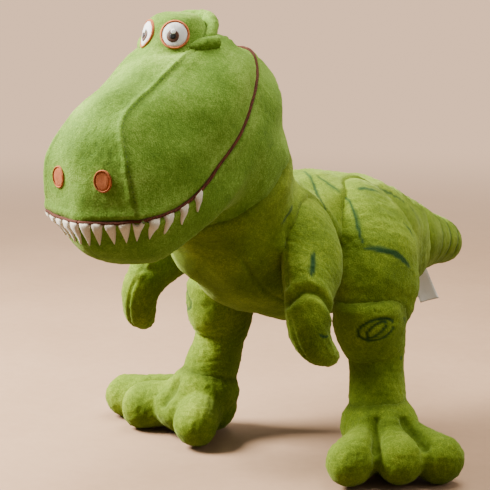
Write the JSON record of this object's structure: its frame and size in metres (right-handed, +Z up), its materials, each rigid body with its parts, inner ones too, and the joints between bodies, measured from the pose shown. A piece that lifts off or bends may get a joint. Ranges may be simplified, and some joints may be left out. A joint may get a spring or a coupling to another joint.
{
  "type": "stuffed dinosaur",
  "caption": "Plush tyrannosaur toy standing on two splayed feet, with a large toothed head, short arms and a stubby tail that all bend where they are sewn on.",
  "frame": {"origin": "on the floor below the middle of the toy's bounding box, between the ankles", "axes": "+Z up, the toy faces -Y, its left side is +X"},
  "size_m": [0.3423, 0.5077, 0.347],
  "materials": {
    "plush_green": "short pile velour plush",
    "plush_light_green": "short pile velour plush, lit from above",
    "plush_shade_green": "short pile velour plush, underside",
    "polyester_stuffing": "loose polyester fibre",
    "brown_thread": "satin stitch embroidery",
    "rust_felt": "felt patch with stitched edge",
    "cream_felt": "felt",
    "white_satin": "satin weave"
  },
  "bodies": {
    "trunk": {"trunk_side_left": "plush_green", "trunk_side_right": "plush_green", "belly_panel": "plush_shade_green", "trunk_filling": "polyester_stuffing"},
    "head": {"head_top_panel": "plush_light_green", "cheek_left": "plush_green", "cheek_right": "plush_green", "jaw_left": "plush_green", "jaw_right": "plush_green", "head_filling": "polyester_stuffing", "mouth_piping_left": "brown_thread", "teeth_left": "cream_felt", "eye_white_left": "white_satin", "eye_rim_left": "rust_felt", "iris_left": "brown_thread", "nostril_left": "rust_felt", "brow_left": "plush_light_green", "mouth_piping_right": "brown_thread", "teeth_right": "cream_felt", "eye_white_right": "white_satin", "eye_rim_right": "rust_felt", "iris_right": "brown_thread", "nostril_right": "rust_felt", "brow_right": "plush_light_green"},
    "tail": {"tail_left": "plush_green", "tail_right": "plush_green", "tail_underside": "plush_shade_green", "tail_filling": "polyester_stuffing", "care_label": "white_satin"},
    "arm_left": {"arm_outer_left": "plush_green", "arm_inner_left": "plush_shade_green", "arm_filling_left": "polyester_stuffing"},
    "leg_left": {"leg_outer_left": "plush_green", "leg_inner_left": "plush_shade_green", "leg_filling_left": "polyester_stuffing", "foot_upper_left": "plush_light_green", "foot_sole_left": "plush_green", "foot_filling_left": "polyester_stuffing"},
    "arm_right": {"arm_outer_right": "plush_green", "arm_inner_right": "plush_shade_green", "arm_filling_right": "polyester_stuffing"},
    "leg_right": {"leg_outer_right": "plush_green", "leg_inner_right": "plush_shade_green", "leg_filling_right": "polyester_stuffing", "foot_upper_right": "plush_light_green", "foot_sole_right": "plush_green", "foot_filling_right": "polyester_stuffing"}
  },
  "joints": [
    {"name": "neck_nod", "type": "hinge", "parent": "trunk", "child": "head", "pos_m": [0.0085, -0.1124, 0.24], "axis": [1, 0, 0], "range_deg": [-10, 9], "stiffness_Nm_per_rad": 4},
    {"name": "tail_sway", "type": "hinge", "parent": "trunk", "child": "tail", "pos_m": [0.0085, 0.1526, 0.147], "axis": [0, 0, 1], "range_deg": [-18, 18], "stiffness_Nm_per_rad": 0.4},
    {"name": "shoulder_left", "type": "hinge", "parent": "trunk", "child": "arm_left", "pos_m": [0.0555, -0.0574, 0.172], "axis": [1, 0, 0], "range_deg": [-35, 10], "stiffness_Nm_per_rad": 0.12},
    {"name": "shoulder_right", "type": "hinge", "parent": "trunk", "child": "arm_right", "pos_m": [-0.0385, -0.0574, 0.172], "axis": [1, 0, 0], "range_deg": [-35, 10], "stiffness_Nm_per_rad": 0.12},
    {"name": "hip_left", "type": "hinge", "parent": "trunk", "child": "leg_left", "pos_m": [0.0669, 0.0106, 0.152], "axis": [1, 0, 0], "range_deg": [-10, 12], "stiffness_Nm_per_rad": 8},
    {"name": "hip_right", "type": "hinge", "parent": "trunk", "child": "leg_right", "pos_m": [-0.0499, 0.0106, 0.152], "axis": [1, 0, 0], "range_deg": [-10, 12], "stiffness_Nm_per_rad": 8}
  ]
}
